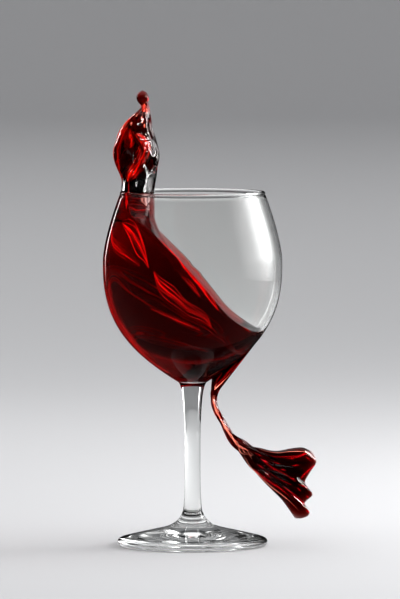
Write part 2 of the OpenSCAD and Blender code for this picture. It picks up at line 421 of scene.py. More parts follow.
def leap_point(t, a, inset=0.0):
    """A point of the leaping sheet's skin, t of the way up and at angle a; inset is how far below it."""
    s = along(LEAP, t)
    body = ease(t * 3) * ease((1 - t) * 4)
    bend = LEAP_BEND * body * ripple(3.3, 0.05 * s[0], 1.5)
    k = lobes(a, s[0], t)
    u, v = cos(a), sin(a)
    x = (s[1] + s[2]) / 2 + k * (s[2] - s[1]) / 2 * u
    side = 1 if v > 0 else -1
    depth = k * s[3] * v * mix(1, lookup(u, SHEET_CURVE), body)
    rough = v * body * leap_relief(x, s[0], side)
    return x, s[4] + bend + depth + rough - side * inset, s[0]


def leap_ring(t):
    edge = mix(RIM_EDGE, pi / 2, ease(t * 3))
    return [leap_point(t, a) for a in split_angles(WINE_SIDES, edge)]


# The leap's first ring, inside the swell: [height, lowest x, highest x, half width along Y]
LEAP_FOOT = [198.6, -38.4, -22.2, 13.6]


def leap_foot():
    """The ring just inside the top of the swell, from which the leap starts."""
    z, low, high, half = LEAP_FOOT
    return [((low + high) / 2 + (high - low) / 2 * cos(a), half * sin(a), z)
            for a in split_angles(WINE_SIDES, RIM_EDGE)]


def make_leap(material):
    rings = [leap_foot()] + [leap_ring(i / LEAP_RINGS) for i in range(LEAP_RINGS + 1)]
    foot = ((LEAP_FOOT[1] + LEAP_FOOT[2]) / 2, 0, LEAP_FOOT[0])
    points, faces = pointed_skin(rings, foot, LEAP_TIP)
    leap = mesh_object("wine_leap", points, faces, material)
    mark_free_skin(leap, hidden_below=LEAP_FOOT[0] + SEAM)
    return leap


def contact_angle(s):
    """The direction from the axis in which the free edge meets the wall, for one ring of the swell."""
    r = cavity_r(s[0])
    cx = min(0, (s[1] - s[2] - r) / 2)
    a = corner(cx, r, s)
    d = wall_reach(cx, a, r)
    return atan2(d * sin(a), cx + d * cos(a))


SWELL_STATIONS = [along(SWELL, i / SWELL_RINGS) for i in range(SWELL_RINGS + 1)]
CONTACT = [(s[0], contact_angle(s)) for s in SWELL_STATIONS]


# ---- the glass's mesh ----

GLASS_SIDES = 192
INNER_RINGS = len(inner_lower()) + UPPER_STEPS + 1
# How much less the glass mirrors under the bowl, how fast that sets in above the stem's top, and
# from which height and how fast it goes again
UNDER_LOSS = 0.97
UNDER_RISE = 3
UNDER_END_Z = 106
UNDER_FADE = 26


def mark_sheen(glass):
    """A vertex value: how much the glass mirrors, which is little where it would show the foot."""
    values = glass.data.attributes.new("sheen", "FLOAT", "POINT")
    for vertex, value in zip(glass.data.vertices, values.data):
        z = vertex.co.z / MM
        under = ease((z - STEM_TOP_Z) / UNDER_RISE) * (1 - ease((z - UNDER_END_Z) / UNDER_FADE))
        value.value = GLASS_SHEEN * (1 - UNDER_LOSS * under)


def make_glass(material, wet_material):
    """The bowl, stem and foot, turned in one piece; the wall's wet part is a material of its own."""
    outline = glass_outline()
    inner = outline[1:-1]
    n, wall_start = GLASS_SIDES, len(inner) - INNER_RINGS + 1
    even = split_angles(n, pi / 2)
    rings = []
    for i, (r, z) in enumerate(inner):
        turn = clamp((i - wall_start + BEAD_STEPS) / BEAD_STEPS)
        edge = split_angles(n, lookup(z, CONTACT))
        rings.append(ring_of(r, z, [mix(p, q, turn) for p, q in zip(even, edge)]))
    points, faces = pointed_skin(rings, (0, 0, outline[0][1]), (0, 0, outline[-1][1]))
    glass = mesh_object("glass_blown", points, faces, material)
    glass.data.materials.append(wet_material)
    for polygon in glass.data.polygons:
        ring, side = min(polygon.vertices) // n, polygon.center / MM
        on_wall = ring >= wall_start and ring < len(inner)
        wet_side = atan2(abs(side.y), side.x) > lookup(side.z, CONTACT)
        if on_wall and side.z < SWELL_TOP_Z and (wet_side or side.z < SWELL_LOW_Z):
            polygon.material_index = 1
    mark_sheen(glass)
    return glass


# How much the wine's free face mirrors behind the glass, and on the tongue from a height on
FREE_SHEEN = 0.25
TONGUE_Z = 180.0
TONGUE_FADE = 8
TONGUE_SHEEN = 0.05
# How near its end a skin counts as hidden, where the swell and the leap lie in each other
SEAM = 0.1
# The power by which the rings crowd at the bowl's floor
LOW_SPREAD = 1.6


def mark_free_skin(obj, hidden_below=0.0, hidden_above=999.0, outside=False):
    """A vertex value: how much the skin mirrors, from 1 in open air to 0 in the glass or in other wine."""
    free = obj.data.attributes.new("free_skin", "FLOAT", "POINT")
    for vertex, value in zip(obj.data.vertices, free.data):
        x, y, z = vertex.co / MM
        behind_glass = not outside and z < SWELL_TOP_Z
        in_wall = behind_glass and hypot(x, y) > cavity_r(z) - OVERLAP
        dim = mix(FREE_SHEEN, TONGUE_SHEEN, ease((z - TONGUE_Z) / TONGUE_FADE))
        sheen = dim if behind_glass else 1.0
        hidden = in_wall or z < hidden_below or z > hidden_above
        value.value = 0.0 if hidden else sheen


def make_wine(material):
    """The wine in the bowl: rings that fill the cavity, and the swell with its free face above them."""
    shares = [(i / (LOW_RINGS + 1)) ** LOW_SPREAD for i in range(1, LOW_RINGS + 1)]
    low = [low_ring(mix(FLOOR_Z, SWELL_LOW_Z, share)) for share in shares]
    swell = [swell_ring(s) for s in SWELL_STATIONS]
    top = (mix(LEAP_FOOT[1], LEAP_FOOT[2], 0.5), 0, SWELL_TOP_Z)
    points, faces = pointed_skin(low + swell, (0, 0, FLOOR_Z - OVERLAP), top)
    wine = mesh_object("red_wine", points, faces, material)
    mark_free_skin(wine, hidden_above=SWELL_TOP_Z - SEAM)
    return wine


# ---- the hanging splash's skin ----

DROP_SIDES = 120
DROP_RINGS = 150
ROOT_RINGS = 24
# How deep the film's first ring reaches into the bowl's wall
ROOT_INSET = 0.2
# The share of the film that mirrors nothing, and the share over which the mirroring then grows
ROOT_DULL = 0.35
ROOT_FADE = 0.6
CURVE_STEPS = 64
LOBE_CURVE = [along(FAN_LOBES, k / CURVE_STEPS) for k in range(CURVE_STEPS + 1)]


def root_point(share, a):
    """A point where the film leaves the bowl, by its share of the way along X and its angle."""
    x, y = mix(DROP_ROOT[0], DROP_ROOT[1], share), DROP_ROOT[2] * sin(a)
    return x, y, lookup(hypot(x, y), UNDER) + ROOT_INSET


def root_ring():
    return [root_point((1 - cos(a)) / 2, a) for a in even_angles(DROP_SIDES)]


def fade_root(obj):
    """Lets the hanging splash's mirroring grow from nothing where its film starts on the bowl."""
    for k, value in enumerate(obj.data.attributes["free_skin"].data):
        value.value = ease((k // DROP_SIDES - ROOT_DULL * ROOT_RINGS) / (ROOT_FADE * ROOT_RINGS))


STREAM_LOBE = 0.2
STREAM_TURNS = 5.5
# How thick the fan is across its width, as shares of the full depth: rolled edges, thinner middle
FAN_SHEET = [(0.0, 0.95), (0.08, 0.85), (0.2, 0.5), (0.35, 0.6), (0.5, 0.5), (0.65, 0.62),
             (0.8, 0.5), (0.93, 0.85), (1.0, 0.95)]
VEIN_HIGH = 1.5
VEIN_FINE = 0.7


def strands(a, t):
    """The twisted strands of the thin stream, as a share of its radius."""
    fade = ease(t * 8) * ease((0.66 - t) * 5)
    return 1 + STREAM_LOBE * fade * cos(3 * a + 2 * pi * STREAM_TURNS * t)


def veins(w, t, side):
    """Ridges that spread through the fan along the flow."""
    drift = 0.5 * ripple(1.7, 3.0 * t, 6.0 * side)
    sharp = 1 - 2.4 * abs(ripple(5.2 * w + drift, 1.6 * t, 3.0 * side))
    fine = ripple(11.0 * w + drift, 4.0 * t, 5.0 * side)
    return VEIN_HIGH * sharp + VEIN_FINE * fine


FAN_LOW, FAN_HIGH = DROP[-1][:2], DROP[-1][2:4]
FAN_SIZE = dist(FAN_LOW, FAN_HIGH)
FAN_OUT = ((FAN_HIGH[1] - FAN_LOW[1]) / FAN_SIZE, -(FAN_HIGH[0] - FAN_LOW[0]) / FAN_SIZE)


def drop_point(t, a, inset=0.0):
    """A point of the hanging splash's skin, t of the way along and at angle a round it."""
    s = along(DROP, t)
    fan = ease((t - 0.35) * 4)
    w = (1 - cos(a)) / 2
    push = ease((t - FAN_START) / (1 - FAN_START)) * max(0.0, lookup(w, LOBE_CURVE))
    k = strands(a, t)
    across = 0.5 - k * cos(a) / 2
    v = sin(a)
    side = 1 if v > 0 else -1
    depth = k * s[4] * v * mix(1, lookup(w, FAN_SHEET), fan)
    rough = v * fan * ease((1 - t) * 9) * veins(w, t, side)
    y = depth + rough - DROP_SWAY * sin(pi * t) - side * inset
    return mix(s[0], s[2], across) + push * FAN_OUT[0], y, mix(s[1], s[3], across) + push * FAN_OUT[1]


def drop_ring(t):
    return [drop_point(t, a) for a in even_angles(DROP_SIDES)]


def make_drop(material):
    """The film on the bowl, the stream and the fan, in one skin."""
    root, first = root_ring(), drop_ring(0)
    rings = []
    for i in range(ROOT_RINGS):
        t = sqrt(i / ROOT_RINGS)
        rings.append([tuple(mix(p, q, t) for p, q in zip(a, b)) for a, b in zip(root, first)])
    rings += [drop_ring(i / DROP_RINGS) for i in range(DROP_RINGS + 1)]
    points, faces = flat_skin(rings)
    drop = mesh_object("splash_under_bowl", points, faces, material)
    mark_free_skin(drop, outside=True)
    fade_root(drop)
    return drop


# ---- painted light strips in the wine and the splashes, and bubbles inside the wine ----

# Each painted glow fold is a list of [x, height, width] that it follows just behind the wall.
PAINTED_GLOW_FOLDS = {
    "edge": [[-19.0, 176.0, 0.4], [-10.6, 167.3, 1.3], [-2.1, 157.2, 2.6], [5.2, 148.7, 3.0],
             [10.3, 141.4, 2.0], [14.2, 135.8, 0.5]],
    "middle": [[-21.1, 156.9, 0.8], [-18.3, 150.1, 3.0], [-13.8, 145.6, 4.0], [-9.9, 142.8, 3.6],
               [-5.4, 138.9, 3.0], [-1.4, 136.0, 2.8], [4.2, 133.2, 2.4], [8.2, 129.9, 1.8],
               [10.4, 125.9, 0.5]],
    "low": [[-22.8, 136.6, 0.3], [-9.9, 131.0, 1.0], [4.2, 124.8, 0.4]],
    "faint": [[-5.9, 154.7, 0.4], [-0.3, 149.6, 1.4], [4.2, 143.4, 0.4]],
    "leaf": [[-38.0, 182.8, 0.6], [-34.5, 179.4, 4.0], [-30.6, 173.5, 5.6], [-26.6, 166.2, 3.2],
             [-23.9, 159.3, 0.4]],
    "strand_a": [[-43.4, 181.1, 0.8], [-43.0, 171.0, 3.0], [-36.2, 165.5, 2.6], [-29.0, 160.4, 0.6]],
    "rim": [[-35.8, 200.0, 3.6], [-35.9, 196.0, 2.6], [-35.8, 190.8, 0.5]],
}
# Thin painted glow folds run beside each broad one: [share of its width away, share of its width].
COMPANIONS = [(-1.0, 0.22), (0.95, 0.3), (1.5, 0.16)]
# The painted glow along the lower left wall: [height, share of the radius, width].
CRESCENT = [(152, 0.97, 1.0), (144, 0.97, 8.0), (134, 0.965, 12.0), (124, 0.955, 14.0),
            (114, 0.94, 13.0), (106, 0.9, 9.0), (100, 0.82, 1.5)]
# How far inside it, as a share of the radius, its copy lies
CRESCENT_STEP = 0.05
# The painted reflection on the tongue of wine that climbs to the rim, a bright patch: [x, height, width].
PAINTED_TONGUE_REFLECTION = [[-27.0, 199.3, 1.2], [-26.6, 197.6, 5.0], [-26.2, 195.4, 5.6], [-25.8, 192.6, 1.0]]
# Each painted glow patch of the leaping sheet is a list of [share of the way up, angle round it, width].
LEAP_PAINTED_GLOW = [
    [[0.4, 268, 1.5], [0.36, 284, 6.0], [0.31, 292, 8.5], [0.27, 288, 7.0], [0.23, 276, 2.0]],
    [[0.26, 290, 2.0], [0.22, 280, 7.5], [0.17, 264, 9.5], [0.12, 248, 7.0], [0.08, 238, 1.6]],
    [[0.44, 240, 1.0], [0.4, 250, 4.5], [0.35, 256, 4.0], [0.31, 250, 1.0]],
    [[0.06, 200, 0.4], [0.2, 197, 0.9], [0.35, 196, 1.1], [0.5, 198, 0.8], [0.62, 205, 0.4]],
    [[0.1, 212, 0.4], [0.2, 214, 0.8], [0.32, 215, 0.9], [0.45, 218, 0.4]],
    [[0.6, 262, 1.0], [0.65, 272, 4.6], [0.71, 280, 3.0], [0.75, 276, 0.8]],
]
# Each painted glow vein of the fan is a list of [share of the way along, share across it, width].
FAN_PAINTED_GLOW = [
    [[0.62, 0.62, 0.4], [0.7, 0.53, 1.4], [0.76, 0.5, 1.3], [0.83, 0.46, 0.4]],
    [[0.68, 0.84, 0.4], [0.76, 0.86, 1.3], [0.83, 0.86, 2.4], [0.9, 0.92, 1.6], [0.94, 0.95, 0.4]],
    [[0.99, 0.82, 0.6], [0.975, 0.72, 2.2], [0.955, 0.62, 2.0], [0.94, 0.53, 0.8]],
    [[0.78, 0.24, 0.4], [0.86, 0.22, 1.5], [0.92, 0.21, 1.6], [0.97, 0.2, 0.5]],
    [[0.62, 0.12, 0.3], [0.68, 0.11, 1.1], [0.76, 0.13, 1.0], [0.82, 0.1, 0.3]],
    [[0.66, 0.36, 0.3], [0.74, 0.33, 0.8], [0.82, 0.34, 0.3]],
    [[0.86, 0.4, 0.3], [0.92, 0.42, 1.5], [0.96, 0.45, 0.5]],
    [[0.955, 0.12, 0.6], [0.975, 0.12, 1.7], [0.99, 0.13, 0.6]],
    [[0.955, 0.33, 0.5], [0.97, 0.33, 1.4], [0.985, 0.33, 0.5]],
]
# Each painted glow streak of the film on the bowl is a list of [share of the way down, share across,
# width].
FILM_PAINTED_GLOW = [
    [[0.02, 0.9, 0.4], [0.12, 0.8, 1.9], [0.3, 0.7, 1.5], [0.55, 0.6, 1.0], [0.85, 0.5, 0.3]],
    [[0.02, 0.6, 0.4], [0.15, 0.5, 1.5], [0.4, 0.42, 1.1], [0.7, 0.3, 0.4]],
    [[0.02, 0.25, 0.3], [0.2, 0.2, 1.0], [0.5, 0.2, 0.8], [0.8, 0.3, 0.2]],
]
# Painted highlights on the film on the bowl: each a list of [share of the way down, share across, width].
FILM_PAINTED_HIGHLIGHTS = [
    [[0.35, 0.78, 0.2], [0.6, 0.62, 0.9], [0.85, 0.45, 1.1], [1.0, 0.4, 0.5]],
    [[0.45, 0.25, 0.2], [0.7, 0.28, 0.9], [0.95, 0.4, 0.3]],
]
# Short spots of painted glow on the fan and of painted highlights on the leap: how many, and from where to
# where they lie along and across the splash
FAN_SPOTS = (16, 0.58, 0.96, 0.1, 0.9)
LEAP_SPOTS = (10, 0.46, 0.7, 238, 312)
# Painted highlights: the thin bright lines along the fan's rolled edges
FAN_PAINTED_RIM_LINES = [
    [[0.5, 0.05, 0.1], [0.6, 0.05, 0.35], [0.7, 0.04, 0.5], [0.8, 0.05, 0.4], [0.92, 0.04, 0.1]],
    [[0.6, 0.95, 0.1], [0.72, 0.955, 0.4], [0.84, 0.95, 0.5], [0.96, 0.94, 0.1]],
]
# Each bubble is [x, height, radius].
BUBBLES = [[25.1, 122.3, 0.55], [24.4, 120.4, 0.4], [25.6, 118.9, 0.5], [24.9, 116.6, 0.35],
           [27.0, 121.1, 0.3], [31.5, 112.5, 0.35], [18.2, 126.0, 0.3]]
BUBBLE_RINGS, BUBBLE_SIDES = 10, 16
# The stream's strands of painted highlight: where they run, how each starts, and how much they swell
STRAND_START, STRAND_END = 0.06, 0.56
STRAND_TURNS = (0.7, 2.3, 3.9, 5.6)
STRAND_STEPS = 16
STRAND_LEAST = 0.12
STRAND_SWELL = 1.9
# How deep the painted glow folds lie behind the bowl's wall, and how thick and uneven the painted light
# strips are
FOLD_DEPTH = 1.6
FOLD_THICK = 0.6
FOLD_UNEVEN = 0.25
FOLD_LEAST = 0.1
FOLD_STEPS = 60
FOLD_SIDES = 12
# The share of a painted light strip's length that gives its direction, and what makes two strips' streaks
# differ
FOLD_AHEAD = 0.02
FOLD_SEED = 3.7
# How deep painted light lies under the skins of the splashes and the tongue
SHALLOW = 0.3
LEAP_DEEP = 1.8
TONGUE_DEEP = 0.35
FAN_SHALLOW = 0.15
FAN_DEEP = 0.7
FILM_DEEP = (1.5, 0.5)
# The shares by which each spot moves on from the last, and a jump within each three
STREW_ALONG = 0.618
STREW_ACROSS = 0.382
STREW_JUMP = 0.37
SPOT_END = 0.15
BOTH_SIDES = (-1, 1)


TONGUE_STEPS = [(along(SWELL, i / CURVE_STEPS)[0], i / CURVE_STEPS) for i in range(CURVE_STEPS + 1)]


def behind_wall(x, z, side):
    """A point just inside the wall of the bowl; side is -1 in front and 1 behind."""
    r = cavity_r(z) - FOLD_DEPTH
    return Vector((x, side * sqrt(max(4.0, r * r - x * x)), z))


def across_angle(share, side):
    return side * acos(1 - 2 * share)


def on_film(t, share, side, inset=SHALLOW):
    """A point just under the skin of the film that runs down the bowl into the stream."""
    a = across_angle(share, side)
    p = [mix(q, r, sqrt(t)) for q, r in zip(root_point(share, a), drop_point(0, a))]
    return Vector((p[0], p[1] - inset * side, p[2]))


def in_film(t, share, side):
    return on_film(t, share, side, mix(*FILM_DEEP, t))


def on_fan(t, share, side):
    return Vector(drop_point(t, across_angle(share, side), FAN_SHALLOW))


def in_fan(t, share, side):
    return Vector(drop_point(t, across_angle(share, side), FAN_DEEP))


def on_leap(t, degrees, side):
    return Vector(leap_point(t, -side * radians(degrees), SHALLOW))


def in_leap(t, degrees, side):
    return Vector(leap_point(t, -side * radians(degrees), LEAP_DEEP))


def spots(many, low, high, near, far, length, wide):
    """Short paths strewn evenly but without order over a stretch of a splash."""
    found = []
    for k in range(many):
        t = mix(low, high, (STREW_ALONG * k + 0.1) % 1)
        share = mix(near, far, (STREW_ACROSS * k + STREW_JUMP * (k % 3)) % 1)
        drift = 0.04 * (far - near) * ripple(1.3 * k, 0.5, 2.0)
        half = length * (1 + 0.5 * ripple(2.1 * k, 1.5, 4.0)) / 2
        size = wide * (1 + 0.6 * ripple(0.9 * k, 2.5, 6.0))
        ends = [t - half, share - drift, SPOT_END], [t + half, share + drift, SPOT_END]
        found.append([ends[0], [t, share, size], ends[1]])
    return found


def on_tongue(x, z, side):
    """A point just under the tongue's skin, close to the rim."""
    s = along(SWELL, lookup(z, TONGUE_STEPS))
    cx = (s[1] - s[2] - cavity_r(z)) / 2
    share = clamp(max(0.0, x - cx) / (s[1] - s[2] - cx))
    half = s[3] * (1 - share ** ROUNDNESS) ** (1 / ROUNDNESS)
    return Vector((x, side * (half - TONGUE_DEEP), z))


def lens_rings(place, path, side, outward):
    """Thin lens-shaped rings along a path; place turns the path's two numbers into a point."""
    rings = []
    for i in range(FOLD_STEPS + 1):
        p, q, wide = along(path, i / FOLD_STEPS)
        here = place(p, q, side)
        step = [along(path, clamp(i / FOLD_STEPS + d)) for d in (-FOLD_AHEAD, FOLD_AHEAD)]
        ahead = (place(*step[1][:2], side) - place(*step[0][:2], side)).normalized()
        out = outward(here, side)
        across = ahead.cross(out).normalized()
        uneven = 1 + FOLD_UNEVEN * ripple(0.3 * here.x, 0.3 * here.z, 4.4)
        half = max(FOLD_LEAST, wide) * uneven / 2
        thick = FOLD_THICK * min(1, wide) / 2
        rings.append([tuple(here + across * (cos(a) * half) + out * (sin(a) * thick))
                      for a in even_angles(FOLD_SIDES)])
    return rings


def ring_middle(ring):
    return tuple(sum((Vector(p) for p in ring), Vector()) / len(ring))


def add_skin(points, faces, rings, low, high):
    """Adds a closed skin to lists that already hold others."""
    skin_points, skin_faces = pointed_skin(rings, low, high)
    faces += [tuple(len(points) + k for k in face) for face in skin_faces]
    points += skin_points


def painted_light_mesh(name, jobs, material):
    """One mesh of painted light strips, with each point's place across and along its strip kept as a
    value.
    """
    points, faces, flow = [], [], []
    for seed, (place, path, side, outward) in enumerate(jobs):
        rings = lens_rings(place, path, side, outward)
        add_skin(points, faces, rings, ring_middle(rings[0]), ring_middle(rings[-1]))
        for i in range(FOLD_STEPS + 1):
            flow += [(cos(a), i / FOLD_STEPS, FOLD_SEED * seed) for a in even_angles(FOLD_SIDES)]
        flow += [(0, 0, FOLD_SEED * seed), (0, 1, FOLD_SEED * seed)]
    obj = mesh_object(name, points, faces, material)
    values = obj.data.attributes.new("flow", "FLOAT_VECTOR", "POINT")
    for item, value in zip(values.data, flow):
        item.vector = value
    return obj


def from_axis(here, side):
    return Vector((here.x, here.y, 0)).normalized()


def from_front(here, side):
    return Vector((0, side, 0))


def companions(path):
    """The thin painted glow folds that run above and below a broad one."""
    found = []
    for k, (away, share) in enumerate(COMPANIONS):
        thin = []
        for x, z, wide in path:
            lift = away * wide * (1 + 0.4 * ripple(0.15 * x, k, 2.0))
            thin.append([x + 0.5 * ripple(0.2 * x, k, 1.0), z + lift, share * wide])
        found.append(thin)
    return found


def crescent_path(inwards):
    """The painted glow along the lower left wall, moved inwards by a share of the radius."""
    return [[-(share - inwards) * cavity_r(z), z, wide] for z, share, wide in CRESCENT]


def strand_path(turn):
    """A strand of painted highlight on the stream that wanders from edge to edge and swells in places."""
    path = []
    for i in range(STRAND_STEPS + 1):
        t = mix(STRAND_START, STRAND_END, i / STRAND_STEPS)
        wander = 0.8 * ripple(0.55 * i, turn, 3.0) + 0.2 * sin(turn + 1.3 * i)
        swell = max(0.0, ripple(0.7 * i, turn, 7.0) + 0.3) * STRAND_SWELL
        wide = STRAND_LEAST + swell * sin(pi * i / STRAND_STEPS)
        path.append([t, clamp(0.5 + 0.45 * wander), wide])
    return path


def on_both_sides(place, paths, outward):
    return [(place, path, side, outward) for side in BOTH_SIDES for path in paths]


def make_painted_glow_folds(material):
    """Painted glow: strips for the folds of the flowing wine that catch the light, in front and behind."""
    inner = [path for name, path in PAINTED_GLOW_FOLDS.items() if name != "edge"]
    paths = inner + [thin for path in inner for thin in companions(path)]
    jobs = on_both_sides(behind_wall, paths, from_axis)
    jobs.append((behind_wall, PAINTED_GLOW_FOLDS["edge"], -1, from_axis))
    return painted_light_mesh("wine_painted_glow", jobs, material)


def make_painted_glow_crescents(material):
    """The broad soft painted glow along the lower left wall, brightest at the very edge."""
    paths = [crescent_path(0), crescent_path(CRESCENT_STEP)]
    jobs = on_both_sides(behind_wall, paths, from_axis)
    return painted_light_mesh("wall_painted_glow", jobs, material)


# A pale glowing patch just under the tongue's skin: a painted reflection of the light from the right.
def make_painted_tongue_reflection(material):
    return painted_light_mesh("tongue_painted_reflection", on_both_sides(on_tongue, [PAINTED_TONGUE_REFLECTION], from_front), material)


# Orange-red patches that glow inside the leaping sheet: painted glow.
def make_painted_leap_glow(material):
    return painted_light_mesh("leap_painted_glow", on_both_sides(in_leap, LEAP_PAINTED_GLOW, from_front), material)


# Crimson veins and spots that glow in the fan, and streaks in the film on the bowl: painted glow.
def make_painted_fan_glow(material):
    fan_paths = FAN_PAINTED_GLOW + spots(*FAN_SPOTS, length=0.05, wide=1.3)
    jobs = on_both_sides(in_fan, fan_paths, from_front)
    jobs += on_both_sides(in_film, FILM_PAINTED_GLOW, from_front)
    return painted_light_mesh("fan_painted_glow", jobs, material)


def make_painted_highlights(material):
    """Painted highlights: the thin bright lines and spots just under the skins of the two splashes."""
    paths = [strand_path(turn) for turn in STRAND_TURNS] + FAN_PAINTED_RIM_LINES
    jobs = on_both_sides(on_fan, paths, from_front)
    jobs += on_both_sides(on_film, FILM_PAINTED_HIGHLIGHTS, from_front)
    jobs += on_both_sides(on_leap, spots(*LEAP_SPOTS, length=0.035, wide=1.4), from_front)
    return painted_light_mesh("splash_painted_highlights", jobs, material)


def make_bubbles(material):
    """A few small bubbles that hang just behind the wall on the right."""
    points, faces = [], []
    for x, z, size in BUBBLES:
        middle = behind_wall(x, z, -1)
        rings = []
        for i in range(1, BUBBLE_RINGS):
            a = pi * i / BUBBLE_RINGS
            r, height = size * sin(a), middle.z - size * cos(a)
            rings.append([(middle.x + r * cos(b), middle.y + r * sin(b), height)
                          for b in even_angles(BUBBLE_SIDES)])
        low, high = (middle.x, middle.y, middle.z - size), (middle.x, middle.y, middle.z + size)
        add_skin(points, faces, rings, low, high)
    return mesh_object("wine_bubbles", points, faces, material)


# ---- materials ----

GLASS_IOR = 1.5
WINE_IOR = 1.34
# The colour of the light left and how fast the rest goes, in the bowl and in the two splashes
WINE_CLEAR = (0.96, 0.25, 0.08, 1)
WINE_DENSITY = 650.0
LEAP_CLEAR = (0.87, 0.25, 0.05, 1)
LEAP_DENSITY = 1900.0
FAN_CLEAR = (0.76, 0.1, 0.04, 1)
FAN_DENSITY = 3000.0
GLASS_SHEEN = 0.42
# Glass against wine mirrors far less than glass against air
WET_SHEEN = 0.07
# The least glow and the least cover of a painted light strip, as shares of the most
LEAST_GLOW = 0.12
LEAST_COVER = 0.25
# Each kind of painted light strip is [bright colour, deep colour, how much it glows, how much it covers];
# the tongue's is a painted reflection, the strands' painted highlights, the rest painted glow.
PAINTED_LIGHT_KINDS = {
    "painted_glow_wine": [(0.8, 0.012, 0.012, 1), (0.25, 0, 0.004, 1), 1.3, 1.0],
    "painted_glow_wall": [(0.75, 0.01, 0.012, 1), (0.4, 0, 0.006, 1), 1.0, 0.55],
    "painted_reflection_tongue": [(1.0, 0.86, 0.84, 1), (0.8, 0.55, 0.55, 1), 0.9, 1.0],
    "painted_glow_leap": [(0.95, 0.06, 0.02, 1), (0.3, 0, 0.004, 1), 1.6, 0.7],
    "painted_glow_fan": [(0.82, 0.012, 0.045, 1), (0.28, 0, 0.008, 1), 1.2, 0.75],
    "painted_highlight_strand": [(1.0, 0.5, 0.36, 1), (0.6, 0.03, 0.015, 1), 1.6, 1.0],
}


def set_inputs(node, **values):
    """Sets a node's inputs by their names, with _ for a space."""
    for name, value in values.items():
        node.inputs[name.replace("_", " ")].default_value = value


def add_node(tree, kind, **values):
    node = tree.nodes.new("ShaderNode" + kind)
    set_inputs(node, **values)
    return node


def add_math(tree, operation):
    node = add_node(tree, "Math")
    node.operation = operation
    return node


def add_attribute(tree, name):
    node = add_node(tree, "Attribute")
    node.attribute_name = name
    return node


def join(source, output, target, entry):
    source.id_data.links.new(source.outputs[output], target.inputs[entry])


def new_material(name):
    material = bpy.data.materials.new(name)
    material.use_nodes = True
    tree = material.node_tree
    return material, tree, tree.nodes["Principled BSDF"], tree.nodes["Material Output"]


def vary_roughness(tree, shader, scale, low, high):
    """Roughness that wanders between two values over the surface."""
    place = add_node(tree, "TexCoord")
    cloud = add_node(tree, "TexNoise", Scale=scale, Detail=4.0)
    span = add_node(tree, "MapRange", From_Min=0.35, From_Max=0.7, To_Min=low, To_Max=high)
    join(place, "Object", cloud, "Vector")
    join(cloud, "Fac", span, "Value")
    join(span, "Result", shader, "Roughness")


def add_bump(tree, shader, scale, detail, strength, distance, share=None):
    """A fine uneven surface from object-space noise; share can weaken it over the surface."""
    place = add_node(tree, "TexCoord")
    grain = add_node(tree, "TexNoise", Scale=scale, Detail=detail)
    bump = add_node(tree, "Bump", Strength=strength, Distance=distance)
    join(place, "Object", grain, "Vector")
    join(grain, "Fac", bump, "Height")
    join(bump, "Normal", shader, "Normal")
    if share:
        weaken = add_math(tree, "MULTIPLY")
        weaken.inputs[1].default_value = strength
        tree.links.new(share, weaken.inputs[0])
        join(weaken, "Value", bump, "Strength")


def glass_material(name, wet):
    """Clear glass; where wine wets it inside, it mirrors next to nothing."""
    material, tree, shader, _ = new_material(name)
    set_inputs(shader, Base_Color=(0.975, 0.985, 0.975, 1), IOR=GLASS_IOR, Transmission_Weight=1.0)
    set_inputs(shader, Specular_Tint=(WET_SHEEN, WET_SHEEN, WET_SHEEN, 1))
    if not wet:
        join(add_attribute(tree, "sheen"), "Fac", shader, "Specular Tint")
    vary_roughness(tree, shader, 45.0, 0.0, 0.008)
    add_bump(tree, shader, 22.0, 2.0, 0.06, 0.0004)
    return material


def wine_material(name, clear, density):
    """Clear red wine; its skin mirrors nothing where it lies against the glass."""
    material, tree, shader, output = new_material(name)
    set_inputs(shader, IOR=WINE_IOR, Transmission_Weight=1.0)
    mask = add_attribute(tree, "free_skin")
    vary_roughness(tree, shader, 260.0, 0.0, 0.015)
    add_bump(tree, shader, 240.0, 3.0, 0.35, 0.0005, mask.outputs["Fac"])
    join(mask, "Fac", shader, "Specular Tint")
    absorb = add_node(tree, "VolumeAbsorption", Color=clear, Density=density)
    join(absorb, "Volume", output, "Volume")
    return material


def bright_streaks(tree, flow):
    """Uneven streaks of painted light along the flow, between 0 and 1."""
    stretch = add_node(tree, "Mapping", Scale=(3.2, 2.4, 1.0))
    streaks = add_node(tree, "TexNoise", Scale=1.0, Detail=4.0, Distortion=0.5)
    lines = add_node(tree, "MapRange", From_Min=0.38, From_Max=0.66)
    join(flow, "Vector", stretch, "Vector")
    join(stretch, "Vector", streaks, "Vector")
    join(streaks, "Fac", lines, "Value")
    return lines.outputs["Result"]


def bright_middle(tree, flow):
    """One in the middle of a painted light strip and nothing at its edges."""
    parts = add_node(tree, "SeparateXYZ")
    away = add_math(tree, "ABSOLUTE")
    middle = add_node(tree, "MapRange", From_Min=1.0, From_Max=0.15)
    middle.interpolation_type = "SMOOTHSTEP"
    join(flow, "Vector", parts, "Vector")
    join(parts, "X", away, 0)
    join(away, "Value", middle, "Value")
    return middle.outputs["Result"]


def tint_painted_light(tree, shader, lines, bright, deep):
    """Mixes a painted light strip's two colours along its streaks, for its surface and its glow."""
    tint = add_node(tree, "Mix")
    tint.data_type = "RGBA"
    set_inputs(tint, A=deep, B=bright)
    tree.links.new(lines, tint.inputs["Factor"])
    join(tint, "Result", shader, "Base Color")
    join(tint, "Result", shader, "Emission Color")


